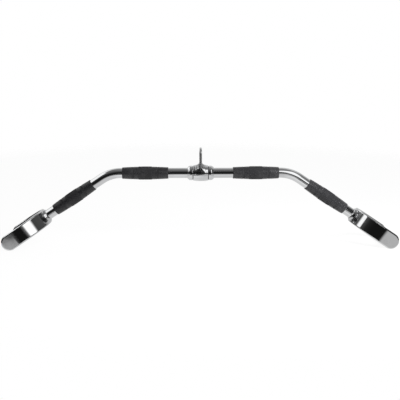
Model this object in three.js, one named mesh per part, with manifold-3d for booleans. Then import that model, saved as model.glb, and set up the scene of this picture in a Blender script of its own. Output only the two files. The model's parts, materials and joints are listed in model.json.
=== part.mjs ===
// Lat pulldown bar with a swivel hub and two strap stirrups.
//
// Millimetres, +Z up, +X to the viewer's right, +Y away from the viewer.
// The origin lies under the middle of the bar, on the plane that the strap ends stand on.
// Each arm has a frame of its own: x runs outward along the arm, y is depth, z is square to both.

import * as THREE from 'three';
import { mergeVertices } from 'three/addons/utils/BufferGeometryUtils.js';
import Module from 'manifold-3d';

const wasm = await Module();
wasm.setup();

// Clearance that every seated or running face keeps, and how far a cutting tool runs past its work
const seatGap = 0.3;
const overrun = 2;

// Bar tube, bent down once on each side of the hub
const tubeDiameter = 28;
const tubeWall = 2.5;
const bendStation = 250;
const bendRadius = 95;
const armLength = 213;
const armDropDegrees = 33.7;

// Swivel hanger, a casting that turns on two plain bushings
const hangerLength = 41;
const hangerEndWall = 4.1;
const hangerCrown = 1.3;
const hangerEdge = 1.2;
const tabThickness = 7;
const tabFillet = 10.5;
const tabFlank = 2;
const eyeRise = 29.2;
const eyeWall = 9;
const eyeHoleDiameter = 20;
const bushingWall = 2.5;
const bushingLength = 18;

// Shaft collars, each held by one grub screw, with a thrust washer on its inner side
const collarWidth = 14;
const collarWall = 5.7;
const collarConeLength = 6;
const collarConeDrop = 3.9;
const collarEdge = 0.8;
const washerThickness = 1;
const washerWall = 4.7;
const grubDiameter = 6;
const grubLength = 5;
const grubSocketAcross = 3;
const grubSocketDepth = 2.4;

// Rubber grips: two on the level run, two on the arms, which stand off from the tube's ends
const gripLength = 127;
const gripStart = 89.5;
const armGripStandoff = 28.5;
const gripEndWall = 1.5;
const gripCrown = 1.95;
const gripLip = 1;
const gripBandRise = 0.4;
const gripGrooveDepth = 0.5;

// Where the grip's raised middle band ends and its ring groove runs, as shares of half its length
const gripBandShares = { edge: 0.28, foot: 0.3 };
const gripGrooveShares = { start: 0.5, floorStart: 0.515, floorEnd: 0.565, end: 0.58 };

// Stirrup, a flat strap bent to a horseshoe whose apex is welded to the tube's end
const strapWidth = 44;
const strapThickness = 8;
const strapEdge = 3;
const stirrupLength = 133;
const legStraight = 42;
const weldLeg = 5;
const weldThroat = 1;

// Hand bar across the open end of each stirrup
const handleTubeDiameter = 25;
const handleTubeWall = 2;
const handleGripLength = 127;
const handleGripWall = 3;

// Steps of the faceted round faces
const roundSteps = 24;
const smallRoundSteps = 12;
const hexSides = 6;
const bendSteps = 7;
const archSteps = 26;
const endSteps = 16;
const filletSteps = 5;
const crownSteps = 4;

// Sizes that follow from the ones above
const tubeRadius = tubeDiameter / 2;
const boreRadius = tubeRadius + seatGap;
const bushingRadius = boreRadius + bushingWall;
const hangerBoreRadius = bushingRadius + seatGap;
const hangerEndRadius = hangerBoreRadius + hangerEndWall;
const hangerRadius = hangerEndRadius + hangerCrown;
const eyeRadius = eyeHoleDiameter / 2 + eyeWall;
const eyeHeight = hangerRadius + eyeRise;
const washerStation = hangerLength / 2 + seatGap;
const collarStation = washerStation + washerThickness + seatGap;
const collarRadius = boreRadius + collarWall;
const gripEndRadius = boreRadius + gripEndWall;
const armGripStart = armLength - armGripStandoff - gripLength;
const handleTubeRadius = handleTubeDiameter / 2;
const handleBoreRadius = handleTubeRadius + seatGap;
const legGap = handleGripLength + 2 * seatGap;
const legCentre = legGap / 2 + strapThickness / 2;
const archDepth = stirrupLength - legStraight - strapThickness / 2;
const handleStation = stirrupLength - strapWidth / 2;
const stirrupStation = armLength + seatGap;
const armDrop = THREE.MathUtils.degToRad(armDropDegrees);

// Materials

const chrome = { color: 0xd2d5d8, metalness: 1, roughness: 0.08 };
const castChrome = { color: 0xc8cbce, metalness: 1, roughness: 0.14 };
const rubber = { color: 0x1b1b1c, metalness: 0, roughness: 0.72 };
const nylon = { color: 0x101011, metalness: 0, roughness: 0.5 };
const blackSteel = { color: 0x2a2b2d, metalness: 1, roughness: 0.35 };

// Solids

function toSolid(geometry) {
  const bare = geometry.clone();
  bare.deleteAttribute('normal');
  bare.deleteAttribute('uv');
  const merged = mergeVertices(bare);
  const vertProperties = new Float32Array(merged.attributes.position.array);
  const triVerts = new Uint32Array(merged.index.array);
  return new wasm.Manifold(new wasm.Mesh({ numProp: 3, vertProperties, triVerts }));
}

function toGeometry(solid) {
  const mesh = solid.getMesh();
  const geometry = new THREE.BufferGeometry();
  geometry.setAttribute('position', new THREE.Float32BufferAttribute(mesh.vertProperties, 3));
  geometry.setIndex(Array.from(mesh.triVerts));
  geometry.computeVertexNormals();
  return geometry;
}

function makePiece(name, geometry, finish) {
  const mesh = new THREE.Mesh(geometry, new THREE.MeshStandardMaterial(finish));
  mesh.name = name;
  return mesh;
}

// Turns a closed outline of [station, radius] pairs about the x axis
function turned(outline, steps = roundSteps) {
  const profile = outline.map(([station, radius]) => new THREE.Vector2(radius, station));
  profile.push(profile[0].clone());
  return new THREE.LatheGeometry(profile, steps).rotateZ(-Math.PI / 2);
}

function ring(start, end, innerRadius, outerRadius, steps = roundSteps) {
  return turned([[start, outerRadius], [end, outerRadius], [end, innerRadius], [start, innerRadius]], steps);
}

// A solid rod about the x axis
function rod(start, end, radius, steps = roundSteps) {
  const length = end - start;
  return new THREE.CylinderGeometry(radius, radius, length, steps)
    .rotateZ(-Math.PI / 2)
    .translate(start + length / 2, 0, 0);
}

// A path that a section is swept along, given by its own stations and not by even steps
class StationPath extends THREE.Curve {
  constructor(stations) {
    super();
    this.stations = stations;
    this.steps = stations.length - 1;
  }

  stationAt(share) {
    return this.stations[Math.round(share * this.steps)];
  }

  getPoint(share) {
    return this.stationAt(share).point.clone();
  }

  getPointAt(share) {
    return this.getPoint(share);
  }

  getTangent(share) {
    return this.stationAt(share).tangent.clone();
  }

  getTangentAt(share) {
    return this.getTangent(share);
  }
}

function swept(section, path) {
  const options = { steps: path.steps, bevelEnabled: false, extrudePath: path, curveSegments: roundSteps / 2 };
  return new THREE.ExtrudeGeometry(section, options);
}

// Bar tube

function tubePath() {
  const setback = bendRadius * Math.tan(armDrop / 2);
  const outward = new THREE.Vector3(Math.cos(armDrop), 0, -Math.sin(armDrop));
  const corner = new THREE.Vector3(bendStation, 0, 0);
  const bendCentre = new THREE.Vector3(bendStation - setback, 0, -bendRadius);
  const half = [];
  for (let step = 0; step <= bendSteps; step += 1) {
    const angle = armDrop * step / bendSteps;
    const radial = new THREE.Vector3(Math.sin(angle), 0, Math.cos(angle));
    half.push({
      point: bendCentre.clone().addScaledVector(radial, bendRadius),
      tangent: new THREE.Vector3(Math.cos(angle), 0, -Math.sin(angle)),
    });
  }
  half.push({ point: corner.clone().addScaledVector(outward, armLength), tangent: outward.clone() });
  const mirrored = half.map(({ point, tangent }) => ({
    point: new THREE.Vector3(-point.x, 0, point.z),
    tangent: new THREE.Vector3(tangent.x, 0, -tangent.z),
  }));
  return new StationPath([...mirrored.reverse(), ...half]);
}

function barTube() {
  const section = new THREE.Shape().absarc(0, 0, tubeRadius, 0, 2 * Math.PI);
  section.holes.push(new THREE.Path().absarc(0, 0, tubeRadius - tubeWall, 0, 2 * Math.PI));
  return makePiece('bar_tube', swept(section, tubePath()), chrome);
}

// Swivel hanger

function sleeveOutline() {
  const half = hangerLength / 2;
  const outline = [[-half, hangerEndRadius - hangerEdge]];
  for (let step = 0; step <= 2 * crownSteps; step += 1) {
    const share = step / crownSteps - 1;
    const station = share * (half - hangerEdge);
    outline.push([station, hangerEndRadius + hangerCrown * (1 - share * share)]);
  }
  outline.push([half, hangerEndRadius - hangerEdge]);
  outline.push([half, hangerBoreRadius], [-half, hangerBoreRadius]);
  return outline;
}

// The tab's plate with its cast fillets, as a disc that runs out onto the sleeve
function filletedDisc() {
  const halfPlate = tabThickness / 2;
  const rim = eyeHeight + eyeRadius + overrun;
  const side = [];
  for (let step = 0; step <= filletSteps; step += 1) {
    const angle = Math.PI / 2 * step / filletSteps;
    const station = halfPlate + tabFillet * (1 - Math.sin(angle));
    const radius = hangerRadius + tabFillet * (1 - Math.cos(angle));
    side.push([station, radius]);
  }
  const rootStation = halfPlate + tabFillet;
  const left = side.map(([station, radius]) => [-station, radius]);
  const right = side.slice().reverse();
  const foot = (hangerBoreRadius + hangerEndRadius) / 2;
  return turned([[-rootStation, foot], ...left, [-halfPlate, rim], [halfPlate, rim], ...right, [rootStation, foot]]);
}

// The tab seen along the hub's axis: straight flanks that run up to the round eye
function tabPrism() {
  const outline = new THREE.Shape();
  const footHalf = eyeRadius + tabFlank;
  const slope = Math.atan2(tabFlank, eyeHeight);
  outline.moveTo(-footHalf, 0);
  outline.lineTo(footHalf, 0);
  outline.absarc(0, eyeHeight, eyeRadius, slope, Math.PI - slope);
  outline.closePath();
  const depth = 2 * (tabThickness / 2 + tabFillet + overrun);
  return new THREE.ExtrudeGeometry(outline, { depth, bevelEnabled: false, curveSegments: endSteps })
    .translate(0, 0, -depth / 2)
    .rotateX(Math.PI / 2)
    .rotateZ(Math.PI / 2);
}

function hanger() {
  const tab = toSolid(filletedDisc()).intersect(toSolid(tabPrism()));
  const reach = hangerLength / 2 + overrun;
  const bore = toSolid(rod(-reach, reach, hangerBoreRadius));
  const plate = tabThickness / 2 + overrun;
  const eye = toSolid(rod(-plate, plate, eyeHoleDiameter / 2).translate(0, 0, eyeHeight));
  const casting = toSolid(turned(sleeveOutline())).add(tab).subtract(bore).subtract(eye);
  return makePiece('swivel_hanger', toGeometry(casting), castChrome);
}

function bushing(name, side) {
  const outerEnd = hangerLength / 2;
  const geometry = ring(outerEnd - bushingLength, outerEnd, boreRadius, bushingRadius);
  return onSide(makePiece(name, geometry, nylon), side);
}

// Collars, washers and grub screws

function washer(name, side) {
  const geometry = ring(washerStation, washerStation + washerThickness, boreRadius, boreRadius + washerWall);
  return onSide(makePiece(name, geometry, nylon), side);
}

function collarOutline() {
  const inner = collarStation;
  const outer = collarStation + collarWidth;
  return [
    [inner, boreRadius],
    [inner, collarRadius - collarEdge],
    [inner + collarEdge, collarRadius],
    [outer - collarConeLength, collarRadius],
    [outer, collarRadius - collarConeDrop],
    [outer, boreRadius],
  ];
}

// Turns a radial piece, made along x, to point down from the collar's middle
function atGrubScrew(geometry) {
  const middle = collarStation + collarWidth / 2;
  return geometry.rotateY(Math.PI / 2).translate(middle, 0, 0);
}

function collar(name, side) {
  const hole = atGrubScrew(rod(0, collarRadius + overrun, grubDiameter / 2 + seatGap, smallRoundSteps));
  const body = toSolid(turned(collarOutline())).subtract(toSolid(hole));
  return onSide(makePiece(name, toGeometry(body), chrome), side);
}

function grubScrew(name, side) {
  const tip = boreRadius;
  const top = tip + grubLength;
  const socketRadius = grubSocketAcross / Math.sqrt(3);
  const socket = rod(top - grubSocketDepth, top + overrun, socketRadius, hexSides);
  const body = toSolid(rod(tip, top, grubDiameter / 2, smallRoundSteps)).subtract(toSolid(socket));
  return onSide(makePiece(name, atGrubScrew(toGeometry(body)), blackSteel), side);
}

// Grips

// Radius of the crowned grip at a share of half its length, before bands and grooves
function crownedRadius(endRadius, share) {
  return endRadius + gripCrown * (1 - share * share);
}

// Half of the grip's outside, from its middle to its end, as [share, radius]
function gripHalf(endRadius) {
  const half = [[0, crownedRadius(endRadius, 0) + gripBandRise]];
  half.push([gripBandShares.edge, crownedRadius(endRadius, gripBandShares.edge) + gripBandRise]);
  half.push([gripBandShares.foot, crownedRadius(endRadius, gripBandShares.foot)]);
  const groove = gripGrooveShares;
  half.push([groove.start, crownedRadius(endRadius, groove.start)]);
  half.push([groove.floorStart, crownedRadius(endRadius, groove.floorStart) - gripGrooveDepth]);
  half.push([groove.floorEnd, crownedRadius(endRadius, groove.floorEnd) - gripGrooveDepth]);
  half.push([groove.end, crownedRadius(endRadius, groove.end)]);
  return half;
}

function gripGeometry(length, innerRadius, endRadius) {
  const reach = length / 2;
  const half = gripHalf(endRadius).map(([share, radius]) => [share * (reach - gripLip), radius]);
  half.push([reach - gripLip, endRadius], [reach, endRadius - gripLip]);
  const mirrored = half.slice(1).map(([station, radius]) => [-station, radius]);
  return turned([...mirrored.reverse(), ...half, [reach, innerRadius], [-reach, innerRadius]]);
}

function barGrip(name, start) {
  const geometry = gripGeometry(gripLength, boreRadius, gripEndRadius);
  return makePiece(name, geometry.translate(start + gripLength / 2, 0, 0), rubber);
}

// Stirrup

// Centre line of the strap in the arm's x-y plane, with x measured from the apex's outer face
function strapPath() {
  const stations = [];
  const apex = strapThickness / 2;
  const legEnd = stirrupLength + overrun;
  stations.push({ point: new THREE.Vector3(legEnd, -legCentre, 0), tangent: new THREE.Vector3(-1, 0, 0) });
  for (let step = 0; step <= archSteps; step += 1) {
    const angle = Math.PI * (step / archSteps - 0.5);
    const along = apex + archDepth * (1 - Math.cos(angle));
    const slope = new THREE.Vector3(archDepth * Math.sin(angle), legCentre * Math.cos(angle), 0);
    stations.push({ point: new THREE.Vector3(along, legCentre * Math.sin(angle), 0), tangent: slope.normalize() });
  }
  stations.push({ point: new THREE.Vector3(legEnd, legCentre, 0), tangent: new THREE.Vector3(1, 0, 0) });
  return new StationPath(stations);
}

// The strap's section: x across its width, y through its thickness, with broken edges
function strapSection() {
  const across = strapWidth / 2;
  const through = strapThickness / 2;
  const section = new THREE.Shape();
  section.moveTo(across - strapEdge, -through);
  section.lineTo(across, -through + strapEdge);
  section.lineTo(across, through - strapEdge);
  section.lineTo(across - strapEdge, through);
  section.lineTo(strapEdge - across, through);
  section.lineTo(-across, through - strapEdge);
  section.lineTo(-across, -through + strapEdge);
  section.lineTo(strapEdge - across, -through);
  section.closePath();
  return section;
}

// The strap seen from its side, in the arm's x-z plane: square at the apex, round at the leg ends
function strapOutline() {
  const across = strapWidth / 2;
  const outline = new THREE.Shape();
  outline.moveTo(-overrun, -across - overrun);
  outline.lineTo(handleStation - overrun, -across - overrun);
  outline.lineTo(handleStation - overrun, -across);
  outline.absarc(handleStation, 0, across, -Math.PI / 2, Math.PI / 2);
  outline.lineTo(handleStation - overrun, across);
  outline.lineTo(handleStation - overrun, across + overrun);
  outline.lineTo(-overrun, across + overrun);
  outline.closePath();
  return outline;
}

function outlinePrism() {
  const depth = legGap + 2 * (strapThickness + overrun);
  return new THREE.ExtrudeGeometry(strapOutline(), { depth, bevelEnabled: false, curveSegments: endSteps })
    .translate(0, 0, -depth / 2)
    .rotateX(Math.PI / 2);
}

// Weld fillet round the tube's end, drawn out past the apex so that it meets the curved strap
function weldFillet() {
  const toe = boreRadius + weldThroat;
  const foot = boreRadius + weldLeg;
  const outline = [[-weldLeg, boreRadius]];
  for (let step = 0; step <= filletSteps; step += 1) {
    const angle = Math.PI / 2 * step / filletSteps;
    outline.push([
      -weldLeg * Math.cos(angle),
      toe + (foot - toe) * (1 - Math.cos(angle)),
    ]);
  }
  const depth = strapThickness / 2;
  outline.push([depth, foot], [depth, boreRadius]);
  return turned(outline);
}

function stirrupGeometry() {
  const strap = toSolid(swept(strapSection(), strapPath())).intersect(toSolid(outlinePrism()));
  return toGeometry(strap.add(toSolid(weldFillet()))).translate(stirrupStation, 0, 0);
}

function handleTubeGeometry() {
  const half = legGap / 2 - seatGap;
  return ring(-half, half, handleTubeRadius - handleTubeWall, handleTubeRadius)
    .rotateZ(Math.PI / 2)
    .translate(stirrupStation + handleStation, 0, 0);
}

function handleGripGeometry() {
  return gripGeometry(handleGripLength, handleBoreRadius, handleBoreRadius + handleGripWall)
    .rotateZ(Math.PI / 2)
    .translate(stirrupStation + handleStation, 0, 0);
}

// Assembly

// Turns a piece made on the right round to the left
function onSide(mesh, side) {
  if (side < 0) {
    mesh.rotation.z = Math.PI;
  }
  return mesh;
}

// The frame of one arm: x outward along it, from the point where the centre lines meet
function armGroup(side) {
  const group = new THREE.Group();
  group.position.x = side * bendStation;
  group.rotation.y = side > 0 ? armDrop : Math.PI - armDrop;
  return group;
}

// How far the hub's axis stands over the plane that the strap ends touch
function hubHeight() {
  const { shape } = strapOutline().extractPoints(endSteps);
  const ends = shape.filter((point) => point.x >= handleStation);
  const drops = ends.map((point) => (
    (stirrupStation + point.x) * Math.sin(armDrop) + Math.abs(point.y) * Math.cos(armDrop)
  ));
  return Math.max(...drops);
}

const bar = new THREE.Group();
bar.position.z = hubHeight();
bar.add(barTube(), hanger());

for (const [word, side] of [['left', -1], ['right', 1]]) {
  bar.add(bushing(`bushing_${word}`, side));
  bar.add(washer(`thrust_washer_${word}`, side));
  bar.add(collar(`collar_${word}`, side));
  bar.add(grubScrew(`grub_screw_${word}`, side));
  bar.add(onSide(barGrip(`inner_grip_${word}`, gripStart), side));

  const arm = armGroup(side);
  arm.add(barGrip(`outer_grip_${word}`, armGripStart));
  arm.add(makePiece(`stirrup_${word}`, stirrupGeometry(), chrome));
  arm.add(makePiece(`handle_tube_${word}`, handleTubeGeometry(), chrome));
  arm.add(makePiece(`handle_grip_${word}`, handleGripGeometry(), rubber));
  bar.add(arm);
}

const latBar = new THREE.Group();
latBar.add(bar);

export default latBar;
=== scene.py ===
"""Lat pulldown bar with a swivel hub and two strap stirrups: fine surfaces, finishes, light and camera.

Metres, +X to the viewer's right, +Y away from the viewer, +Z up. What sits on the level run is made about
that run's axis. What sits on an arm is made in the arm's own frame: x outward along the arm from the bend's
corner, y depth, z square to the arm.
"""

import json
import math

import bmesh
import bpy
import numpy as np
from mathutils import Matrix, Vector


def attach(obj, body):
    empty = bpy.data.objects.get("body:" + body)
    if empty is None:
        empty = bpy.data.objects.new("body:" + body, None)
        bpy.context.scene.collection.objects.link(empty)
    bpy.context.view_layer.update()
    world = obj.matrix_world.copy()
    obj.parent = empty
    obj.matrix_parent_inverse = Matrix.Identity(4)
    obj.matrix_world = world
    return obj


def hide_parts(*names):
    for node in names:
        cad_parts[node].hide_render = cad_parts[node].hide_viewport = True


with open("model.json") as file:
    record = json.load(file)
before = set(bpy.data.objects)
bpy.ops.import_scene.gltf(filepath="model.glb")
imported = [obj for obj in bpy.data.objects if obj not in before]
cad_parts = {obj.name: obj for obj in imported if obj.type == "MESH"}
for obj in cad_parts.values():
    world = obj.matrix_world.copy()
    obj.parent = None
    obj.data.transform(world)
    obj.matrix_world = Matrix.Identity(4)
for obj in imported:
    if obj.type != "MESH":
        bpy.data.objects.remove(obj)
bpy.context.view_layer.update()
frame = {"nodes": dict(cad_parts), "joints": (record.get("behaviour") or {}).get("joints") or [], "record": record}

MM = 0.001

# Bar tube
BEND_STATION = 250 * MM
BEND_RADIUS = 95 * MM
ARM_DROP = math.radians(33.7)
TUBE_WALL = 2.5 * MM
BEND_STEPS = 48
ROUND_STEPS = 144

# What sits on a tube touches it here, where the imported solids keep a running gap
SNUG = 0.02 * MM
BREAK_EDGE = 0.3 * MM
CORNER_ANGLE = math.radians(32)
MERGE_DISTANCE = 0.002 * MM


# Frames

HUB = Matrix.Translation(Vector(frame["joints"][0]["pos_m"]))
SIDES = {"left": Matrix.Rotation(math.pi, 4, "Z"), "right": Matrix.Identity(4)}
TO_CORNER = Matrix.Translation((BEND_STATION, 0, 0)) @ Matrix.Rotation(ARM_DROP, 4, "Y")
ALONG_Y = Matrix.Rotation(math.pi / 2, 4, "Z")


def hub_frame(side):
    return HUB @ SIDES[side]


def arm_frame(side):
    return hub_frame(side) @ TO_CORNER


def corners_in(matrix, node):
    """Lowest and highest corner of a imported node, in the axes of that frame."""
    back = np.array(matrix.inverted())
    points = np.array([vertex.co for vertex in frame["nodes"][node].data.vertices])
    local = points @ back[:3, :3].T + back[:3, 3]
    return Vector(local.min(axis=0)), Vector(local.max(axis=0))


def hub_box(node):
    return corners_in(hub_frame("right"), node)


def arm_box(node):
    return corners_in(arm_frame("right"), node)


# Surfaces. A shape is a tuple of points, faces and normals, the last None where the faces tell them.

def skin(points):
    """Quads over a grid of points whose rows and columns both run round a loop."""
    rows, columns = points.shape[:2]
    index = np.arange(rows * columns).reshape(rows, columns)
    ahead = np.roll(index, -1, axis=1)
    quads = np.stack([index, ahead, np.roll(ahead, -1, axis=0), np.roll(index, -1, axis=0)], axis=-1)
    return points.reshape(-1, 3), quads.reshape(-1, 4).tolist(), None


def turned(profile, steps=ROUND_STEPS, relief=None):
    """A closed profile of [station, radius] turned about the x axis, with any relief on its radius."""
    profile = np.array(profile)
    angles = np.linspace(0, 2 * math.pi, steps, endpoint=False)
    station, radius = np.broadcast_arrays(profile[:, :1], profile[:, 1:])
    station = np.repeat(station, steps, axis=1)
    radius = np.repeat(radius, steps, axis=1)
    if relief is not None:
        radius = radius + relief(station, radius, angles)
    return skin(np.stack([station, radius * np.cos(angles), radius * np.sin(angles)], axis=-1))


def rounded(points, reach, steps=4):
    """A closed profile with each corner replaced by a small curve that starts and ends at that reach."""
    result = []
    for here, corner in enumerate(points):
        corner = np.array(corner)
        before = np.array(points[here - 1]) - corner
        after = np.array(points[(here + 1) % len(points)]) - corner
        start = corner + before / np.linalg.norm(before) * reach
        end = corner + after / np.linalg.norm(after) * reach
        for share in np.linspace(0, 1, steps + 1):
            result.append((1 - share) ** 2 * start + 2 * share * (1 - share) * corner + share ** 2 * end)
    return result


def ring_shape(start, end, inner, outer, edge=BREAK_EDGE):
    return turned(rounded([[start, inner], [start, outer], [end, outer], [end, inner]], edge))


def make_piece(name, shape, matrix, slot, body, node, masks=None, finish=None):
    """A shown piece from a shape, placed by that frame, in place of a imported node.

    Its masks are values for each point. Its finish is the slot's own, where no other is given.
    """
    points, faces, normals = shape
    mesh = bpy.data.meshes.new(name)
    mesh.from_pydata(np.asarray(points).tolist(), [], faces)
    for label, values in (masks or {}).items():
        layer = mesh.attributes.new(label, "FLOAT", "POINT")
        layer.data.foreach_set("value", values.astype(np.float32))
    work = bmesh.new()
    work.from_mesh(mesh)
    if normals is None:
        bmesh.ops.remove_doubles(work, verts=work.verts, dist=MERGE_DISTANCE)
    bmesh.ops.recalc_face_normals(work, faces=work.faces)
    for face in work.faces:
        face.smooth = True
    if normals is None:
        for edge in work.edges:
            edge.smooth = edge.calc_face_angle(0) < CORNER_ANGLE
    work.to_mesh(mesh)
    work.free()
    if normals is not None:
        mesh.normals_split_custom_set_from_vertices(normals.tolist())
    mesh.transform(matrix)
    mesh.materials.append(finish or FINISHES[slot])
    piece = bpy.data.objects.new(name, mesh)
    bpy.context.collection.objects.link(piece)
    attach(piece, body)
    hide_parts(node)
    return piece


# Moulded solids, given by a field that is negative inside them

FIELD_SLOPE_STEP = 0.01 * MM
SETTLE_ROUNDS = 8
RELAX_ROUNDS = range(2, SETTLE_ROUNDS - 2)


def soft_min(first, second, reach):
    """The lower of two distances, with a fillet of that reach where they meet."""
    share = np.clip(0.5 + (second - first) / (2 * reach), 0, 1)
    return second + (first - second) * share - reach * share * (1 - share)


def soft_max(first, second, reach):
    return -soft_min(-first, -second, reach)


def field_slope(field, points):
    slope = np.empty_like(points)
    for axis in range(3):
        shift = np.zeros(3)
        shift[axis] = FIELD_SLOPE_STEP
        change = field(*(points + shift).T) - field(*(points - shift).T)
        slope[:, axis] = change / (2 * FIELD_SLOPE_STEP)
    return slope


def relax(points, quads):
    """Moves each point half way to the middle of its neighbours."""
    total = np.zeros_like(points)
    count = np.zeros(len(points))
    for corner in range(4):
        ends = quads[:, corner], quads[:, (corner + 1) % 4]
        for here, there in (ends, ends[::-1]):
            np.add.at(total, here, points[there])
            np.add.at(count, here, 1)
    return (points + total / count[:, None]) / 2


def moulded(field, low, high, step):
    """The surface where the field is nought, as a net of quads that settles onto it."""
    axes = [np.arange(start, end + step, step) for start, end in zip(low, high)]
    inside = field(*np.meshgrid(*axes, indexing="ij")) < 0
    wide, deep, tall = (count - 1 for count in inside.shape)
    corners = sum(
        inside[i:wide + i, j:deep + j, k:tall + k].astype(int)
        for i in (0, 1) for j in (0, 1) for k in (0, 1)
    )
    mixed = (corners > 0) & (corners < 8)
    number = np.full(mixed.shape, -1)
    number[mixed] = np.arange(mixed.sum())
    points = np.array(low) + (np.argwhere(mixed) + 0.5) * step
    quads = []
    for axis in range(3):
        side = np.moveaxis(inside, axis, 0)
        cell = np.moveaxis(number, axis, 0)
        crossing = side[:-1, 1:-1, 1:-1] != side[1:, 1:-1, 1:-1]
        around = cell[:, :-1, :-1], cell[:, 1:, :-1], cell[:, 1:, 1:], cell[:, :-1, 1:]
        quads.append(np.stack([corner[crossing] for corner in around], axis=-1))
    quads = np.concatenate(quads)
    for settle in range(SETTLE_ROUNDS):
        if settle in RELAX_ROUNDS:
            points = relax(points, quads)
        slope = field_slope(field, points)
        steep = (slope ** 2).sum(axis=1)
        points = points - slope * (field(*points.T) / steep)[:, None]
    slope = field_slope(field, points)
    return points, quads.tolist(), slope / np.linalg.norm(slope, axis=1)[:, None]


# Shader building

def add(tree, kind, inputs=None, **settings):
    """A node with its settings, and its inputs each joined to a socket or given a value."""
    made = tree.nodes.new(kind)
    for key, value in settings.items():
        setattr(made, key, value)
    for key, value in (inputs or {}).items():
        if isinstance(value, bpy.types.NodeSocket):
            tree.links.new(value, made.inputs[key])
        else:
            made.inputs[key].default_value = value
    return made


def new_group(name, inputs, outputs):
    """A node group with float inputs and their values, and outputs of a given kind."""
    group = bpy.data.node_groups.new(name, "ShaderNodeTree")
    for label, value in inputs.items():
        socket = group.interface.new_socket(label, in_out="INPUT", socket_type="NodeSocketFloat")
        socket.default_value = value
    for label, kind in outputs.items():
        group.interface.new_socket(label, in_out="OUTPUT", socket_type="NodeSocket" + kind)
    return group, group.nodes.new("NodeGroupInput").outputs


def close_group(group, results):
    outlet = group.nodes.new("NodeGroupOutput")
    for label, socket in results.items():
        group.links.new(socket, outlet.inputs[label])
    return group


def spread(tree, value, low, high, from_low=0.0, from_high=1.0):
    """Maps a value smoothly from one span to another."""
    inputs = {"Value": value, "From Min": from_low, "From Max": from_high, "To Min": low, "To Max": high}
    return add(tree, "ShaderNodeMapRange", inputs, interpolation_type="SMOOTHSTEP").outputs["Result"]


def maths(tree, operation, *values):
    return add(tree, "ShaderNodeMath", dict(enumerate(values)), operation=operation).outputs[0]


def blend(tree, share, first, second):
    """The first value where the share is 0 and the second where it is 1."""
    return add(tree, "ShaderNodeMix", {0: share, 2: first, 3: second}, data_type="FLOAT").outputs[0]


def local_point(tree):
    return tree.nodes.new("ShaderNodeTexCoord").outputs["Object"]


def noise(tree, scale, detail=2.0, roughness=0.5):
    inputs = {"Vector": local_point(tree), "Scale": scale, "Detail": detail, "Roughness": roughness}
    return add(tree, "ShaderNodeTexNoise", inputs).outputs["Fac"]


def painted(tree, label):
    """A mask that a piece carries: smooth_band where it is smooth, or the crease mask, where shade is painted into
    the tone.
    """
    return add(tree, "ShaderNodeAttribute", attribute_name=label).outputs["Fac"]


# Effects that several finishes share

WAVE_HEIGHT = 1 * MM
HAIRLINE_HEIGHT = 0.1 * MM
GRAIN_HEIGHT = 0.15 * MM
OXIDE_HEIGHT = 0.05 * MM


def handling_marks():
    """Faint patches that hands and cloths leave: a mask that is 1 where the surface is dullest."""
    group, inlet = new_group("handling_marks", {"Scale": 22.0, "Amount": 1.0}, {"Mask": "Float"})
    cloud = noise(group, inlet["Scale"], detail=4.0, roughness=0.6)
    patches = spread(group, cloud, low=0.0, high=1.0, from_low=0.42, from_high=0.74)
    return close_group(group, {"Mask": maths(group, "MULTIPLY", patches, inlet["Amount"])})


def plating():
    """Bright plate: a slight unevenness of the metal under it, and hairlines from polishing."""
    inputs = {"Wave Scale": 60.0, "Wave Depth": 0.02, "Hairline Scale": 900.0, "Hairline Depth": 0.01}
    group, inlet = new_group("plating", inputs, {"Normal": "Vector", "Hairline": "Float"})
    wave = noise(group, inlet["Wave Scale"], detail=1.5)
    hairline = noise(group, inlet["Hairline Scale"], detail=3.0, roughness=0.7)
    coarse = add(group, "ShaderNodeBump", {
        "Height": wave, "Strength": inlet["Wave Depth"], "Distance": WAVE_HEIGHT,
    })
    fine = add(group, "ShaderNodeBump", {
        "Height": hairline, "Strength": inlet["Hairline Depth"], "Distance": HAIRLINE_HEIGHT,
        "Normal": coarse.outputs["Normal"],
    })
    return close_group(group, {"Normal": fine.outputs["Normal"], "Hairline": hairline})


def moulded_grain():
    """The pebbled skin that a spark-eroded mould gives rubber and nylon, with a mask of its pits."""
    inputs = {"Scale": 1600.0, "Depth": 0.5}
    group, inlet = new_group("moulded_grain", inputs, {"Normal": "Vector", "Pits": "Float"})
    cells = add(group, "ShaderNodeTexVoronoi", {"Vector": local_point(group), "Scale": inlet["Scale"]})
    pits = spread(group, cells.outputs["Distance"], low=1.0, high=0.0, from_low=0.1, from_high=0.8)
    bump = add(group, "ShaderNodeBump", {
        "Height": pits, "Strength": inlet["Depth"], "Distance": GRAIN_HEIGHT,
    })
    return close_group(group, {"Normal": bump.outputs["Normal"], "Pits": pits})


HANDLING = handling_marks()
PLATING = plating()
GRAIN = moulded_grain()


def use(tree, group, **values):
    """Places a node group and sets its inputs, whose names have underscores for spaces."""
    made = add(tree, "ShaderNodeGroup", node_tree=group)
    for label, value in values.items():
        made.inputs[label.replace("_", " ")].default_value = value
    return made.outputs


def new_material(name, **fixed):
    """A material with its shader, whose constant values are set on the shader's own sockets."""
    material = bpy.data.materials.new(name)
    material.use_nodes = True
    tree = material.node_tree
    shader = tree.nodes["Principled BSDF"]
    for label, value in fixed.items():
        shader.inputs[label.replace("_", " ")].default_value = value
    return material, tree, shader.inputs


def tint(tree, mask, clean, marked):
    """One colour where the mask is 0 and another where it is 1."""
    inputs = {"Factor_Float": mask, "A_Color": (*clean, 1), "B_Color": (*marked, 1)}
    mixed = tree.nodes.new("ShaderNodeMix")
    mixed.data_type = "RGBA"
    for socket in mixed.inputs:
        value = inputs.get(socket.identifier)
        if isinstance(value, bpy.types.NodeSocket):
            tree.links.new(value, socket)
        elif value is not None:
            socket.default_value = value
    return mixed.outputs[2]


# Finishes

PLATE_TONE = 0.56, 0.565, 0.57
BAND_SHEEN = 0.44


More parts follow.
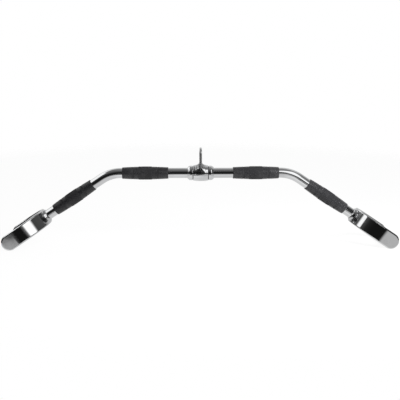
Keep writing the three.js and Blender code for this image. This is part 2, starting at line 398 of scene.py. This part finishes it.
def chrome_finish(name, dull_and_shade, gloss, haze, wave_depth, polish=0.0, dull_share=1.0):
    """Chrome plate whose roughness goes from gloss to haze, less the polish where the smooth bands are.

    The dark tone covers the handling marks by its share, and the crease mask wholly, as painted shade.
    """
    material, tree, shader = new_material(name, Metallic=1.0)
    marks = use(tree, HANDLING, Scale=24.0)["Mask"]
    plate = use(tree, PLATING, Wave_Depth=wave_depth)
    worn = spread(tree, maths(tree, "MULTIPLY", marks, plate["Hairline"]), gloss, haze, from_high=0.7)
    # Painted shade over the crease mask, with the handling marks by their share, darkens the tone.
    darkening = maths(tree, "MAXIMUM", maths(tree, "MULTIPLY", marks, dull_share), painted(tree, "painted_crease_shade"))
    tree.links.new(tint(tree, darkening, PLATE_TONE, dull_and_shade), shader["Base Color"])
    if polish:
        worn = maths(tree, "SUBTRACT", worn, spread(tree, painted(tree, "smooth_band"), 0.0, polish))
    tree.links.new(worn, shader["Roughness"])
    tree.links.new(plate["Normal"], shader["Normal"])
    return material


def rubber_finish():
    material, tree, shader = new_material("grip_rubber", Specular_IOR_Level=0.3)
    marks = use(tree, HANDLING, Scale=35.0)["Mask"]
    grain = use(tree, GRAIN, Scale=1500.0, Depth=0.55)
    skin_tone = tint(tree, marks, clean=(0.012, 0.012, 0.013), marked=(0.021, 0.021, 0.022))
    tree.links.new(skin_tone, shader["Base Color"])
    matt = spread(tree, grain["Pits"], low=0.62, high=0.78)
    sheen = spread(tree, painted(tree, "smooth_band"), low=0.0, high=-BAND_SHEEN)
    tree.links.new(maths(tree, "ADD", matt, sheen), shader["Roughness"])
    tree.links.new(grain["Normal"], shader["Normal"])
    return material


def nylon_finish():
    material, tree, shader = new_material("black_nylon", Specular_IOR_Level=0.5)
    grain = use(tree, GRAIN, Scale=2600.0, Depth=0.2)
    tone = tint(tree, grain["Pits"], clean=(0.018, 0.018, 0.019), marked=(0.028, 0.028, 0.03))
    tree.links.new(tone, shader["Base Color"])
    tree.links.new(spread(tree, grain["Pits"], low=0.42, high=0.55), shader["Roughness"])
    tree.links.new(grain["Normal"], shader["Normal"])
    return material


def black_steel_finish():
    material, tree, shader = new_material("black_steel", Metallic=1.0)
    oxide = noise(tree, 2500.0, detail=4.0, roughness=0.6)
    tone = tint(tree, oxide, clean=(0.02, 0.02, 0.022), marked=(0.07, 0.07, 0.075))
    tree.links.new(tone, shader["Base Color"])
    tree.links.new(spread(tree, oxide, low=0.3, high=0.5), shader["Roughness"])
    bump = add(tree, "ShaderNodeBump", {"Height": oxide, "Strength": 0.3, "Distance": OXIDE_HEIGHT})
    tree.links.new(bump.outputs["Normal"], shader["Normal"])
    return material


FINISHES = {
    "polished_chrome": chrome_finish(
        "polished_chrome", dull_and_shade=(0.53, 0.53, 0.535), gloss=0.05, haze=0.14, wave_depth=0.02,
    ),
    # Its dark tone is also the painted shade in the hanger's crease.
    "cast_chrome": chrome_finish(
        "cast_chrome", dull_and_shade=(0.2, 0.2, 0.2), gloss=0.32, haze=0.42, wave_depth=0.05,
        polish=0.22, dull_share=0.14,
    ),
    "grip_rubber": rubber_finish(),
    "black_nylon": nylon_finish(),
    "black_steel": black_steel_finish(),
}
WELD_CHROME = chrome_finish("weld_chrome", dull_and_shade=(0.5, 0.5, 0.505), gloss=0.1, haze=0.2, wave_depth=0.05)

for subpart in frame["record"]["subparts"]:
    carried = frame["nodes"][subpart["node"]]
    carried.data.materials.clear()
    carried.data.materials.append(FINISHES[subpart["material_slot"]])


# Bar tube

TUBE_RADIUS = hub_box("bar_tube")[1].y
ARM_LENGTH = arm_box("bar_tube")[1].x


def tube_stations():
    """Centre and upward normal of each ring along the tube, from the left end to the right."""
    setback = BEND_RADIUS * math.tan(ARM_DROP / 2)
    half = []
    for angle in np.linspace(0, ARM_DROP, BEND_STEPS + 1):
        normal = np.array([math.sin(angle), 0, math.cos(angle)])
        half.append((np.array([BEND_STATION - setback, 0, -BEND_RADIUS]) + BEND_RADIUS * normal, normal))
    outward = np.array([math.cos(ARM_DROP), 0, -math.sin(ARM_DROP)])
    half.append((np.array([BEND_STATION, 0, 0]) + outward * ARM_LENGTH, half[-1][1]))
    mirror = np.array([-1, 1, 1])
    return [(centre * mirror, normal * mirror) for centre, normal in reversed(half)] + half


def tube_shape():
    angles = np.linspace(0, 2 * math.pi, ROUND_STEPS, endpoint=False)[:, None]
    depth = np.array([0, 1, 0])

    def ring(centre, normal, radius):
        return centre + radius * (np.sin(angles) * depth + np.cos(angles) * normal)

    stations = tube_stations()
    outer = [ring(centre, normal, TUBE_RADIUS) for centre, normal in stations]
    inner = [ring(centre, normal, TUBE_RADIUS - TUBE_WALL) for centre, normal in reversed(stations)]
    return skin(np.array(outer + inner))


make_piece("bent_tube", tube_shape(), HUB, "polished_chrome", "bar", "bar_tube")


# Swivel hanger

HANGER_CROWN = 1.3 * MM
HANGER_EDGE = 1.6 * MM
HANGER_BORE_EDGE = 0.5 * MM
TAB_THICKNESS = 7 * MM
TAB_FOOT = 27 * MM
TAB_FILLET = 9 * MM
TAB_FLANK = 2 * MM
TAB_EDGE = 3 * MM
TAB_BLEND = 2.5 * MM
EYE_WALL = 9 * MM
EYE_HOLE_RADIUS = 10 * MM
EYE_EDGE = 1 * MM
CREASE = 2.5 * MM
CREASE_REACH = 9 * MM
HANGER_GRID = 0.6 * MM
GRID_MARGIN = 1.2 * MM

hanger_low, hanger_high = hub_box("swivel_hanger")
bushing_high = hub_box("bushing_right")[1]
HANGER_HALF = hanger_high.x
HANGER_BORE = bushing_high.y
BARREL_RADIUS = hanger_high.y
HANGER_END_RADIUS = BARREL_RADIUS - HANGER_CROWN
EYE_RADIUS = EYE_WALL + EYE_HOLE_RADIUS
EYE_HEIGHT = hanger_high.z - EYE_RADIUS


def tab_outline(y, z):
    """Distance to the tab's side view: straight flanks that narrow up to the round eye."""
    foot = EYE_RADIUS + TAB_FLANK
    lean = TAB_FLANK / EYE_HEIGHT
    upright = math.sqrt(1 - lean ** 2)
    across = np.abs(y)
    rise = z * upright - across * lean
    flank = across * upright + z * lean - foot
    eye = np.hypot(across, z - EYE_HEIGHT) - EYE_RADIUS
    base = np.hypot(across, z) - foot
    return np.where(rise < 0, base, np.where(rise > upright * EYE_HEIGHT, eye, flank))


def hanger_field(x, y, z):
    """A slightly crowned barrel, the eye tab that flares out onto it, the bore and the eye's hole."""
    radius = np.hypot(y, z)
    along = x / HANGER_HALF
    barrel = radius - (HANGER_END_RADIUS + HANGER_CROWN * (1 - along ** 2))
    sleeve = soft_max(barrel, np.abs(x) - HANGER_HALF, HANGER_EDGE)
    drop = np.clip(BARREL_RADIUS + TAB_FILLET - radius, 0, TAB_FILLET)
    flare = TAB_FILLET - np.sqrt(TAB_FILLET ** 2 - drop ** 2)
    tab = soft_max(np.abs(x) - TAB_THICKNESS / 2 - flare, tab_outline(y, z), TAB_EDGE)
    solid = soft_min(sleeve, tab, TAB_BLEND)
    solid = soft_max(solid, HANGER_BORE - radius, HANGER_BORE_EDGE)
    eye_hole = EYE_HOLE_RADIUS - np.hypot(y, z - EYE_HEIGHT)
    return soft_max(solid, eye_hole, EYE_EDGE)


def grid_box(low, high, margin=GRID_MARGIN):
    return [value - margin for value in low], [value + margin for value in high]


def hanger_masks(points):
    """Where the casting is polished smooth, and the crease over its barrel, darkened by painted shade."""
    x, y, z = points.T
    radius = np.hypot(y, z)
    barrel = np.interp(radius, [BARREL_RADIUS, TAB_FOOT], [1, 0])
    tip = np.interp(z, [EYE_HEIGHT, EYE_HEIGHT + EYE_RADIUS / 2], [0, 1])
    # Painted shade: a darker tone in the crease where the tab flares onto the barrel, on its upper side.
    from_crease = np.hypot(np.abs(x) - TAB_THICKNESS / 2 - CREASE, radius - BARREL_RADIUS - CREASE)
    darkening = np.interp(from_crease, [CREASE, CREASE_REACH], [1, 0])
    above = np.interp(z, [BARREL_RADIUS / 2, BARREL_RADIUS], [0, 1])
    return {"smooth_band": np.maximum(barrel, tip), "painted_crease_shade": darkening * above}


hanger = moulded(hanger_field, *grid_box(hanger_low, hanger_high), HANGER_GRID)
make_piece("hanger_casting", hanger, HUB, "cast_chrome", "hanger", "swivel_hanger", hanger_masks(hanger[0]))


# Bushings, washers, collars and grub screws

COLLAR_CONE_LENGTH = 6 * MM
COLLAR_CONE_DROP = 3.9 * MM
COLLAR_EDGE = 1 * MM
COLLAR_GRID = 0.55 * MM
SCREW_HOLE_CHAMFER = 0.6 * MM
GRUB_ACROSS_FLATS = 3 * MM
GRUB_FLATS = 6
GRUB_SOCKET_DEPTH = 2.4 * MM
GRUB_EDGE = 0.35 * MM
GRUB_GRID = 0.16 * MM

collar_low, collar_high = hub_box("collar_right")
grub_low, grub_high = hub_box("grub_screw_right")
GRUB_MIDDLE = (grub_low.x + grub_high.x) / 2
GRUB_RADIUS = grub_high.y


def collar_field(x, y, z):
    """A turned collar with a coned outer end and the grub screw's hole underneath."""
    radius = np.hypot(y, z)
    past = x - (collar_high.x - COLLAR_CONE_LENGTH)
    rise = radius - collar_high.y
    slant = math.hypot(COLLAR_CONE_LENGTH, COLLAR_CONE_DROP)
    cone = (past * COLLAR_CONE_DROP + rise * COLLAR_CONE_LENGTH) / slant
    side = soft_max(soft_max(rise, cone, COLLAR_EDGE), collar_low.x - x, COLLAR_EDGE)
    body = soft_max(side, x - collar_high.x, COLLAR_EDGE)
    body = soft_max(body, TUBE_RADIUS + SNUG - radius, BREAK_EDGE)
    hole = np.where(z < 0, GRUB_RADIUS + SNUG - np.hypot(x - GRUB_MIDDLE, y), -collar_high.y)
    return soft_max(body, hole, SCREW_HOLE_CHAMFER)


def grub_field(x, y, z):
    """A socket screw that stands radially, its hexagonal socket facing down."""
    across = x - GRUB_MIDDLE
    beyond = np.maximum(z - grub_high.z, grub_low.z - z)
    shaft = soft_max(np.hypot(across, y) - GRUB_RADIUS, beyond, GRUB_EDGE)
    turns = np.linspace(0, 2 * math.pi, GRUB_FLATS, endpoint=False)
    sides = [across * math.cos(turn) + y * math.sin(turn) for turn in turns]
    socket = np.maximum.reduce(sides) - GRUB_ACROSS_FLATS / 2
    return soft_max(shaft, -np.maximum(socket, z - grub_low.z - GRUB_SOCKET_DEPTH), GRUB_EDGE / 2)


def ring_from(node, inner):
    """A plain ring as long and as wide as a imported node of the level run."""
    low, high = hub_box(node)
    return ring_shape(low.x, high.x, inner, high.y)


bushing = ring_from("bushing_right", TUBE_RADIUS + SNUG)
washer = ring_from("thrust_washer_right", TUBE_RADIUS + SNUG)
collar = moulded(collar_field, *grid_box(collar_low, collar_high), COLLAR_GRID)
grub_screw = moulded(grub_field, *grid_box(grub_low, grub_high, GRUB_EDGE), GRUB_GRID)
for side in SIDES:
    place = hub_frame(side)
    make_piece(f"plain_bushing_{side}", bushing, place, "black_nylon", "hanger", f"bushing_{side}")
    make_piece(f"side_washer_{side}", washer, place, "black_nylon", "bar", f"thrust_washer_{side}")
    make_piece(f"shaft_collar_{side}", collar, place, "polished_chrome", "bar", f"collar_{side}")
    make_piece(f"socket_screw_{side}", grub_screw, place, "black_steel", "bar", f"grub_screw_{side}")


# Rubber grips

GRIP_END_WALL = 1.5 * MM
GRIP_CROWN = 1.95 * MM
GRIP_LIP = 1 * MM
GRIP_LIP_STEPS = 4
GRIP_FIT = 0.3 * MM
GRIP_HANDLE_WALL = 3 * MM
GRIP_ROUND_STEPS = 176
PIP_ROWS = 14
PIPS_ROUND = 44
PIP_RISE = 0.22 * MM
PIP_HOLLOW = 0.35
STEPS_A_PIP = 4
BAND_STEP = 1.6 * MM
KNEE = 0.2 * MM

# Relief of the raised panel and the groove, in millimetres at shares of half the grip's length
RELIEF_SHARES = (0, 0.28, 0.3, 0.5, 0.515, 0.565, 0.58, 1)
RELIEF_HEIGHTS = (0.4, 0.4, 0, 0, -0.5, -0.5, 0, 0)
SMOOTH_SHARES = (0.29, 0.31, 0.49, 0.5, 0.58, 0.59, 0.985, 1)
SMOOTH_VALUES = (0, 1, 1, 0, 0, 1, 1, 0)


def grip_stations(half):
    """Where the grip's rings stand: close over the panel's pips and at each knee, wider elsewhere."""
    panel = RELIEF_SHARES[1] * half
    over_pips = np.linspace(-panel, panel, PIP_ROWS * STEPS_A_PIP + 1)
    knees = np.array(RELIEF_SHARES[2:-1]) * half
    bands = np.arange(knees[0] + BAND_STEP, half - KNEE, BAND_STEP)
    bands = bands[np.abs(bands[:, None] - knees).min(axis=1) > 2 * KNEE]
    outward = np.concatenate([[panel + KNEE], knees - KNEE, knees + KNEE, bands, [half]])
    return np.sort(np.concatenate([-outward, over_pips, outward]))


def grip_shape(length, bore, end_radius):
    """A crowned grip about the x axis, with pips on its middle panel, and its masks."""
    half = length / 2 - GRIP_LIP
    panel = RELIEF_SHARES[1] * half
    stations = grip_stations(half)
    shares = np.abs(stations) / half
    raised = np.interp(shares, RELIEF_SHARES, RELIEF_HEIGHTS) * MM
    radii = end_radius + GRIP_CROWN * (1 - shares ** 2) + raised
    outside = np.stack([stations, radii], axis=-1).tolist()
    lip = [
        [half + GRIP_LIP * math.sin(turn), end_radius - GRIP_LIP * (1 - math.cos(turn))]
        for turn in np.linspace(0, math.pi / 2, GRIP_LIP_STEPS + 1)[1:]
    ]
    foot = [[half + GRIP_LIP, bore], [-half - GRIP_LIP, bore]]
    profile = outside + lip + foot + [[-station, radius] for station, radius in reversed(lip)]

    def pips(station, radius, angles):
        rows = np.cos(station * math.pi * PIP_ROWS / panel)
        waves = np.clip(rows * np.cos(angles * PIPS_ROUND), -PIP_HOLLOW, 1)
        return np.where((np.abs(station) <= panel) & (radius > bore), PIP_RISE * waves, 0)

    shape = turned(profile, GRIP_ROUND_STEPS, pips)
    band = np.interp(np.abs(np.array(profile)[:, 0]) / half, SMOOTH_SHARES, SMOOTH_VALUES)
    return shape, {"smooth_band": np.repeat(band, GRIP_ROUND_STEPS)}


inner_low, inner_high = hub_box("inner_grip_right")
outer_low, outer_high = arm_box("outer_grip_right")
handle_low, handle_high = arm_box("handle_grip_right")
tube_low, tube_high = arm_box("handle_tube_right")
GRIP_LENGTH = inner_high.x - inner_low.x
HANDLE_GRIP_LENGTH = handle_high.y - handle_low.y
HANDLE_TUBE_RADIUS = tube_high.z
HANDLE_TUBE_WALL = 2 * MM
HANDLE_STATION = (tube_low.x + tube_high.x) / 2


def grip_on(radius, length, end_wall):
    """A grip pressed on a tube of that radius."""
    return grip_shape(length, radius + SNUG, radius + GRIP_FIT + end_wall)


def make_grip(name, grip, place, node):
    shape, masks = grip
    make_piece(name, shape, place, "grip_rubber", "bar", node, masks)


bar_grip = grip_on(TUBE_RADIUS, GRIP_LENGTH, GRIP_END_WALL)
handle_grip = grip_on(HANDLE_TUBE_RADIUS, HANDLE_GRIP_LENGTH, GRIP_HANDLE_WALL)
handle_bore = HANDLE_TUBE_RADIUS - HANDLE_TUBE_WALL
handle_tube = ring_shape(tube_low.y, tube_high.y, handle_bore, HANDLE_TUBE_RADIUS)
for side in SIDES:
    along_run = hub_frame(side) @ Matrix.Translation(((inner_low.x + inner_high.x) / 2, 0, 0))
    along_arm = arm_frame(side) @ Matrix.Translation(((outer_low.x + outer_high.x) / 2, 0, 0))
    across_arm = arm_frame(side) @ Matrix.Translation((HANDLE_STATION, 0, 0)) @ ALONG_Y
    make_grip(f"run_grip_{side}", bar_grip, along_run, f"inner_grip_{side}")
    make_grip(f"arm_grip_{side}", bar_grip, along_arm, f"outer_grip_{side}")
    make_grip(f"stirrup_grip_{side}", handle_grip, across_arm, f"handle_grip_{side}")
    make_piece(
        f"stirrup_tube_{side}", handle_tube, across_arm, "polished_chrome", "bar", f"handle_tube_{side}",
    )


# Stirrups

STRAP_THICKNESS = 8 * MM
STRAP_EDGE = 4.2 * MM
STRAP_EDGE_DEPTH = 3.8 * MM
STRAP_HOLD = 0.25 * MM
LEG_STRAIGHT = 42 * MM
ARCH_STEPS = 180
ARCH_FINENESS = 40
ARCH_CROWN = math.pi / 3
END_STEPS = 32
EDGE_STEPS = 10
WELD_LEG = 5 * MM
WELD_TOE = 1 * MM
WELD_TOE_SHARE = 0.25
WELD_WANDER = 0.25 * MM
WELD_HOLLOW = 1.6
WELD_BULGE = 1.1 * MM
WELD_RIPPLE = 0.11 * MM
WELD_RIPPLES = 54
WELD_STEPS = 378
WELD_ROWS = 10
WELD_SINK = 1 * MM

# Waves of the weld's wandering toe: how many run round the tube, and the angle that each starts with
WELD_WAVES = (3, 0.7), (7, 2.1)

strap_low, strap_high = arm_box("stirrup_right")
STRAP_WIDTH = strap_high.z - strap_low.z
LEG_CENTRE = strap_high.y - STRAP_THICKNESS / 2
STIRRUP_STATION = strap_low.x + WELD_LEG
STIRRUP_LENGTH = strap_high.x - STIRRUP_STATION
ARCH_DEPTH = STIRRUP_LENGTH - LEG_STRAIGHT - STRAP_THICKNESS / 2


def arch_point(angle, off=0.0):
    """Points of the strap's half ellipse, in x and y, that far outside its centre line."""
    slope = np.hypot(LEG_CENTRE * np.cos(angle), ARCH_DEPTH * np.sin(angle))
    x = STRAP_THICKNESS / 2 + ARCH_DEPTH * (1 - np.cos(angle)) - off * LEG_CENTRE * np.cos(angle) / slope
    y = LEG_CENTRE * np.sin(angle) + off * ARCH_DEPTH * np.sin(angle) / slope
    return x, y


ARCH_ANGLES = np.linspace(-math.pi / 2, math.pi / 2, ARCH_FINENESS * ARCH_STEPS + 1)
ARCH_RUN = np.concatenate([[0], np.cumsum(np.hypot(*np.diff(arch_point(ARCH_ANGLES))))])
ARCH_HALF = ARCH_RUN[-1] / 2
STRAP_HALF = ARCH_HALF + LEG_STRAIGHT


def bent(along, across, off):
    """Carries points of the flat strap onto its bent form, by their run, width and height off it."""
    angle = np.interp(along, ARCH_RUN - ARCH_HALF, ARCH_ANGLES)
    x, y = arch_point(angle, off)
    leg = np.clip(np.abs(along) - ARCH_HALF, 0, None)
    return np.stack([x + leg, y, across + 0 * leg], axis=-1)


def strap_loop(inset, off):
    """The strap's outline, drawn in by the inset: over its upper side from tip to tip, and back below."""
    radius = STRAP_WIDTH / 2 - inset
    turns = np.linspace(-math.pi / 2, 0, END_STEPS + 1)
    straight = STRAP_HALF - STRAP_WIDTH / 2
    run = np.linspace(-straight, straight, ARCH_STEPS + 1)
    ends = straight + radius * np.sin(-turns)
    widths = radius * np.cos(turns)
    along = np.concatenate([-ends, run[1:-1], ends[::-1]])
    across = np.concatenate([widths, np.full(ARCH_STEPS - 1, radius), widths[::-1]])
    across[0] = across[-1] = 0
    loop_along = np.concatenate([along, along[-2:0:-1]])
    loop_across = np.concatenate([across, -across[-2:0:-1]])
    return bent(loop_along, loop_across, off)


def strap_shape():
    """The bent strap: loops round its edge from the inner face to the outer, and a ladder on each face."""
    flat = STRAP_THICKNESS / 2 - STRAP_EDGE_DEPTH
    rows = [(STRAP_EDGE + STRAP_HOLD, -STRAP_THICKNESS / 2)]
    for turn in np.linspace(-math.pi / 2, 0, EDGE_STEPS + 1):
        rows.append((STRAP_EDGE * (1 - math.cos(turn)), STRAP_EDGE_DEPTH * math.sin(turn) - flat))
    rows += [(inset, -off) for inset, off in reversed(rows)]
    points = np.array([strap_loop(inset, off) for inset, off in rows])
    count = points.shape[1]
    half = count // 2
    every, quads, _ = skin(points)
    quads = quads[:-count]
    for first in (0, len(every) - count):
        for step in range(half):
            ladder = step, step + 1, count - step - 1, (count - step) % count
            quads.append([first + corner for corner in dict.fromkeys(ladder)])
    return every, quads, None


def strap_face(y, z):
    """How far the strap's outer face lies behind its foremost line, at that depth and height."""
    angles = ARCH_ANGLES[np.abs(ARCH_ANGLES) < ARCH_CROWN]
    face_x, face_y = arch_point(angles, STRAP_THICKNESS / 2)
    past = np.clip(np.abs(z) - (STRAP_WIDTH / 2 - STRAP_EDGE), 0, STRAP_EDGE) / STRAP_EDGE
    return np.interp(y, face_y, face_x) + STRAP_EDGE_DEPTH * (1 - np.sqrt(1 - past ** 2))


def weld_shape():
    """The bead round the tube's end: its toe wanders a little, and its making leaves ripples."""
    angles = np.linspace(0, 2 * math.pi, WELD_STEPS, endpoint=False)
    wander = WELD_WANDER * sum(np.sin(count * angles + start) for count, start in WELD_WAVES)
    foot = TUBE_RADIUS + WELD_LEG + wander / 2
    face = strap_face(foot * np.cos(angles), foot * np.sin(angles))
    toe = -WELD_LEG + wander
    rows = []
    for share in np.linspace(0, 1, WELD_ROWS):
        ripple = WELD_RIPPLE * np.abs(np.sin(angles * WELD_RIPPLES / 2 + share))
        swell = (WELD_BULGE + ripple) * math.sin(math.pi * share)
        rise = TUBE_RADIUS + WELD_TOE * min(1, share / WELD_TOE_SHARE)
        x = toe + (face - toe) * share - swell / 2
        rows.append((x, rise + (foot - rise) * share ** WELD_HOLLOW + swell / 2))
    rows.append((face + WELD_SINK, foot - WELD_SINK / 2))
    rows.append((face + WELD_SINK, TUBE_RADIUS + SNUG + 0 * angles))
    rows.append((toe, TUBE_RADIUS + 0 * angles))
    y, z = np.cos(angles), np.sin(angles)
    return skin(np.array([np.stack([x, radius * y, radius * z], axis=-1) for x, radius in rows]))


strap = strap_shape()
weld = weld_shape()
for side in SIDES:
    place = arm_frame(side) @ Matrix.Translation((STIRRUP_STATION, 0, 0))
    make_piece(f"strap_{side}", strap, place, "polished_chrome", "bar", f"stirrup_{side}")
    make_piece(f"weld_{side}", weld, place, "polished_chrome", "bar", f"stirrup_{side}", finish=WELD_CHROME)


# Floor, studio and camera

def ray_mask(tree, *kinds):
    """1 for the rays of any of these kinds."""
    paths = tree.nodes.new("ShaderNodeLightPath").outputs
    mask = paths[kinds[0]]
    for kind in kinds[1:]:
        mask = maths(tree, "MAXIMUM", mask, paths[kind])
    return mask


FLOOR_HALF_WIDTH = 2.2
FLOOR_FRONT = 0.85
FLOOR_BACK = 3.2
FLOOR_LIFT = 0.94
FLOOR_RIM = 0.55


def floor_finish():
    """Pale paper that fades out at its rim, lifted to white where the camera or a clear piece sees it."""
    material = bpy.data.materials.new("floor_paper")
    material.use_nodes = True
    tree = material.node_tree
    tree.nodes.clear()
    fibre = noise(tree, 300.0, detail=3.0)
    tone = tint(tree, fibre, clean=(0.82, 0.82, 0.82), marked=(0.86, 0.86, 0.86))
    paper = add(tree, "ShaderNodeBsdfDiffuse", {"Color": tone})
    white = add(tree, "ShaderNodeEmission", {"Color": (1, 1, 1, 1), "Strength": 1.0})
    seen = ray_mask(tree, "Is Camera Ray", "Is Glossy Ray", "Is Transmission Ray")
    lift = maths(tree, "MULTIPLY", seen, FLOOR_LIFT)
    lifted = add(tree, "ShaderNodeMixShader", {0: lift, 1: paper.outputs[0], 2: white.outputs[0]})
    axes = add(tree, "ShaderNodeSeparateXYZ", {0: local_point(tree)}).outputs
    across = maths(tree, "DIVIDE", axes["X"], FLOOR_HALF_WIDTH)
    ahead = maths(tree, "DIVIDE", axes["Y"], -FLOOR_FRONT)
    behind = maths(tree, "DIVIDE", axes["Y"], FLOOR_BACK)
    depth = maths(tree, "MAXIMUM", ahead, behind)
    across_squared = maths(tree, "MULTIPLY", across, across)
    far = maths(tree, "MULTIPLY_ADD", depth, depth, across_squared)
    rim = spread(tree, far, low=0.0, high=1.0, from_low=FLOOR_RIM)
    clear = add(tree, "ShaderNodeBsdfTransparent")
    shown = add(tree, "ShaderNodeMixShader", {0: rim, 1: lifted.outputs[0], 2: clear.outputs[0]})
    add(tree, "ShaderNodeOutputMaterial", {"Surface": shown.outputs[0]})
    return material


def make_floor():
    """The paper under the bar. Polished faces show the studio's own lower half instead of it."""
    mesh = bpy.data.meshes.new("floor")
    across, front, back = FLOOR_HALF_WIDTH, -FLOOR_FRONT, FLOOR_BACK
    corners = [(-across, front, 0), (across, front, 0), (across, back, 0), (-across, back, 0)]
    mesh.from_pydata(corners, [], [(0, 1, 2, 3)])
    mesh.materials.append(floor_finish())
    floor = bpy.data.objects.new("floor", mesh)
    floor.visible_glossy = False
    bpy.context.collection.objects.link(floor)


# The studio's bright and grey areas as seen from the bar, in degrees. Azimuth runs from the front to the
# viewer's right. Each area has its start and end with the width of each edge, first in azimuth and then in
# elevation, and its brightness. A shadow's brightness is taken off.
STUDIO_AREAS = {
    "right_softbox": ((13, 46, 12, 6), (9.5, 22, 3.5, 10), 1.9),
    "right_softbox_top": ((7.5, 48, 1.5, 8), (24, 52.5, 18, 14), 1.75),
    "right_softbox_shoulder": ((46, 68, 6, 12), (38, 58, 8, 12), 0.45),
    "right_softbox_glow": ((10, 60, 4, 10), (6, 9.5, 5, 3.5), 0.2),
    "left_softbox_front": ((-80, -60, 12, 4), (23, 56, 4, 8), 1.6),
    "left_softbox_side": ((-145, -81, 14, 6), (36.3, 56.5, 3, 10), 1.42),
    "left_softbox_corner": ((-145, -106, 14, 6), (29.5, 36.3, 3, 3), 1.42),
    "left_softbox_spill": ((-60, -44, 8, 14), (24, 66, 8, 14), 0.05),
    "right_wall": ((46, 200, 10, 2), (-20, 62, 10, 20), 0.05),
    "left_wall": ((-200, -62, 2, 14), (-20, 62, 10, 20), 0.06),
    "back_wall_right": ((112, 200, 50, 2), (-10, 62, 10, 24), 0.72),
    "back_wall_left": ((-200, -138, 2, 30), (-10, 60, 10, 24), 0.72),
    "ceiling": ((-200, 200, 2, 2), (50, 100, 80, 2), 0.25),
    "ceiling_right": ((46, 200, 20, 2), (44, 100, 16, 2), 0.1),
    "ceiling_left": ((-200, -52, 2, 30), (80, 100, 20, 2), 0.03),
    "ceiling_middle": ((-200, 200, 2, 2), (76, 100, 16, 2), 0.08),
    "table_left": ((-200, 7, 2, 6), (-100, -14.4, 2, 1.6), 0.83),
    "table_left_edge": ((-200, 7, 2, 6), (-14.4, -12.7, 1.6, 0.6), 0.57),
    "table_left_haze": ((-200, 7, 2, 6), (-12.6, -9.5, 1.1, 3), 0.05),
    "table_right": ((7, 200, 6, 2), (-100, -8.8, 2, 5.5), 0.74),
    "table_middle": ((-200, 200, 2, 2), (-100, -34, 2, 24), 0.2),
    "table_sheen": ((-40, -1, 20, 8), (-62, -32, 16, 6), 0.17),
    "camera_shadow": ((-15, -3, 4, 4), (-31.8, -19.8, 2, 3), -1.1),
    "camera_stand_shadow": ((-5, 5.5, 4, 4), (-25, -12.5, 8, 3), -0.65),
}
DARK_ROOM = 0.012


def window(tree, value, start, end, start_edge, end_edge):
    """1 between a start and an end, each with a soft edge of that width about it."""
    rise = spread(tree, value, 0.0, 1.0, start - start_edge / 2, start + start_edge / 2)
    fall = spread(tree, value, 1.0, 0.0, end - end_edge / 2, end + end_edge / 2)
    return maths(tree, "MULTIPLY", rise, fall)


def make_studio():
    """The room that polished faces show, by direction, and white to the camera."""
    world = bpy.data.worlds.new("studio")
    bpy.context.scene.world = world
    world.use_nodes = True
    tree = world.node_tree
    tree.nodes.clear()
    direction = tree.nodes.new("ShaderNodeTexCoord").outputs["Generated"]
    axes = add(tree, "ShaderNodeSeparateXYZ", {0: direction}).outputs
    toward_front = maths(tree, "MULTIPLY", axes["Y"], -1.0)
    azimuth = maths(tree, "DEGREES", maths(tree, "ARCTAN2", axes["X"], toward_front))
    elevation = maths(tree, "DEGREES", maths(tree, "ARCSINE", axes["Z"]))
    room = DARK_ROOM
    for label, (across, up, brightness) in STUDIO_AREAS.items():
        area = maths(tree, "MULTIPLY", window(tree, azimuth, *across), window(tree, elevation, *up))
        area.node.label = label
        room = maths(tree, "ADD", room, maths(tree, "MULTIPLY", area, brightness))
    room = maths(tree, "MAXIMUM", room, 0.0)
    strength = blend(tree, ray_mask(tree, "Is Camera Ray"), room, 1.0)
    shade = add(tree, "ShaderNodeBackground", {"Color": (1, 1, 1, 1), "Strength": strength})
    add(tree, "ShaderNodeOutputWorld", {"Surface": shade.outputs[0]})


# Lamps for the black pieces and the floor, which polished faces don't show: place, aim, width and power
LAMPS = {
    "overhead_fill": ((0, 0, 2.6), (0, 0, 0), 2.4, 6.0),
    "right_front_fill": ((0.65, -0.6, 0.6), (0.3, 0, 0.12), 0.4, 23.0),
}


def aim(thing, place, forward):
    """Stands a lamp or the camera at its place, facing that way."""
    thing.location = place
    thing.rotation_euler = Vector(forward).to_track_quat("-Z", "Y").to_euler()
    bpy.context.collection.objects.link(thing)


def make_lamps():
    for name, (place, target, width, power) in LAMPS.items():
        data = bpy.data.lights.new(name, "AREA")
        data.shape = "SQUARE"
        data.size = width
        data.energy = power
        lamp = bpy.data.objects.new(name, data)
        lamp.visible_glossy = False
        aim(lamp, place, Vector(target) - Vector(place))


# A black card that stands close by the right end, from its near edge to its far one
CARD_EDGES = (0.56, -0.3), (0.95, 0.0)
CARD_HEIGHTS = 0.05, 0.45


def make_card():
    """Keeps the right softbox off the right end's polished faces, and shows nowhere else."""
    (near, far), (bottom, top) = CARD_EDGES, CARD_HEIGHTS
    mesh = bpy.data.meshes.new("black_card")
    mesh.from_pydata([(*near, bottom), (*far, bottom), (*far, top), (*near, top)], [], [(0, 1, 2, 3)])
    mesh.materials.append(FINISHES["black_nylon"])
    card = bpy.data.objects.new("black_card", mesh)
    card.visible_camera = False
    card.visible_diffuse = False
    card.visible_shadow = False
    bpy.context.collection.objects.link(card)


CAMERA_PLACE = Vector((-0.04153, -1.94465, 0.46663))
CAMERA_FORWARD = Vector((0.02015675, 0.98477197, -0.17267855))
CAMERA_LENS = 63.69
SENSOR_WIDTH = 36.0


def make_camera():
    data = bpy.data.cameras.new("camera")
    data.lens = CAMERA_LENS
    data.sensor_width = SENSOR_WIDTH
    camera = bpy.data.objects.new("camera", data)
    aim(camera, CAMERA_PLACE, CAMERA_FORWARD)
    bpy.context.scene.camera = camera


make_floor()
make_studio()
make_lamps()
make_card()
make_camera()
bpy.context.scene.view_settings.view_transform = "Standard"
